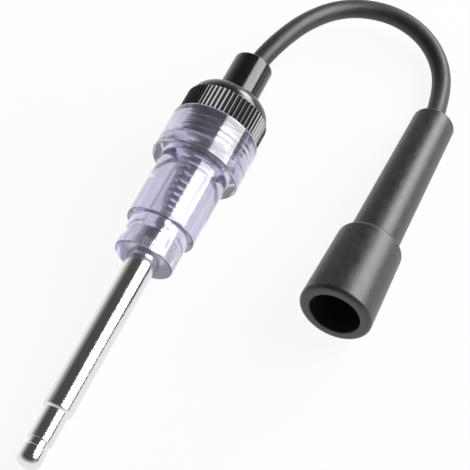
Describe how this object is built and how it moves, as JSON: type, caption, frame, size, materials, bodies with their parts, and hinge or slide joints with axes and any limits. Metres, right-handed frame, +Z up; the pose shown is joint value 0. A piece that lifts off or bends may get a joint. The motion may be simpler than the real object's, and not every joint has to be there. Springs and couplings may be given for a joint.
{
  "type": "in-line spark plug tester",
  "caption": "In-line ignition spark tester: terminal rod in a clear body with lamp and spring, knurled screw cap, short lead and rubber plug boot.",
  "frame": {"origin": "bottom centre of the rigid tester, from the terminal's tip to the end of the cable sleeve, on the surface it lies on", "axes": "+X along the tester from the terminal to the cap, +Z up, the boot lies on the -Y side"},
  "size_m": [0.1735, 0.0732, 0.026],
  "materials": {
    "plated_steel": "polished nickel plate",
    "clear_plastic": "clear with a faint lavender tint",
    "lamp_metal": "pressed plated caps",
    "lamp_glass": "clear glass",
    "electrode_metal": "bare wire",
    "spring_steel": "bright drawn wire",
    "contact_metal": "turned and plated",
    "cap_black": "glossy moulded black",
    "sleeve_black": "glossy moulded black",
    "cable_black": "satin black insulation",
    "core_metal": "stranded conductor",
    "boot_rubber": "satin dark grey rubber",
    "terminal_metal": "pressed plated steel",
    "clip_steel": "spring wire"
  },
  "bodies": {
    "tester": {"contact_rod": "plated_steel", "clear_body": "clear_plastic", "lamp_lower_cap": "lamp_metal", "lamp_glass": "lamp_glass", "lamp_electrodes": "electrode_metal", "lamp_upper_cap": "lamp_metal"},
    "spring": {"contact_spring": "spring_steel"},
    "cap": {"threaded_cap": "cap_black", "cap_contact": "contact_metal", "cable_sleeve": "sleeve_black", "cable_jacket": "cable_black", "cable_core": "core_metal", "rubber_boot": "boot_rubber", "plug_terminal": "terminal_metal", "terminal_clip": "clip_steel"}
  },
  "joints": [
    {"name": "cap_travel", "type": "slide", "parent": "tester", "child": "spring", "axis": [0.9949, 0, 0.1008], "range_m": [0, 0.007], "deforming": ["contact_spring"]},
    {"name": "cap_turn", "type": "hinge", "parent": "spring", "child": "cap", "pos_m": [0.04011, 0, 0.01359], "axis": [0.9949, 0, 0.1008], "range_deg": [0, 1440]}
  ],
  "couplings": [
    {"joint": "cap_travel", "follows": "cap_turn", "m_per_rad": 0.00027852}
  ]
}
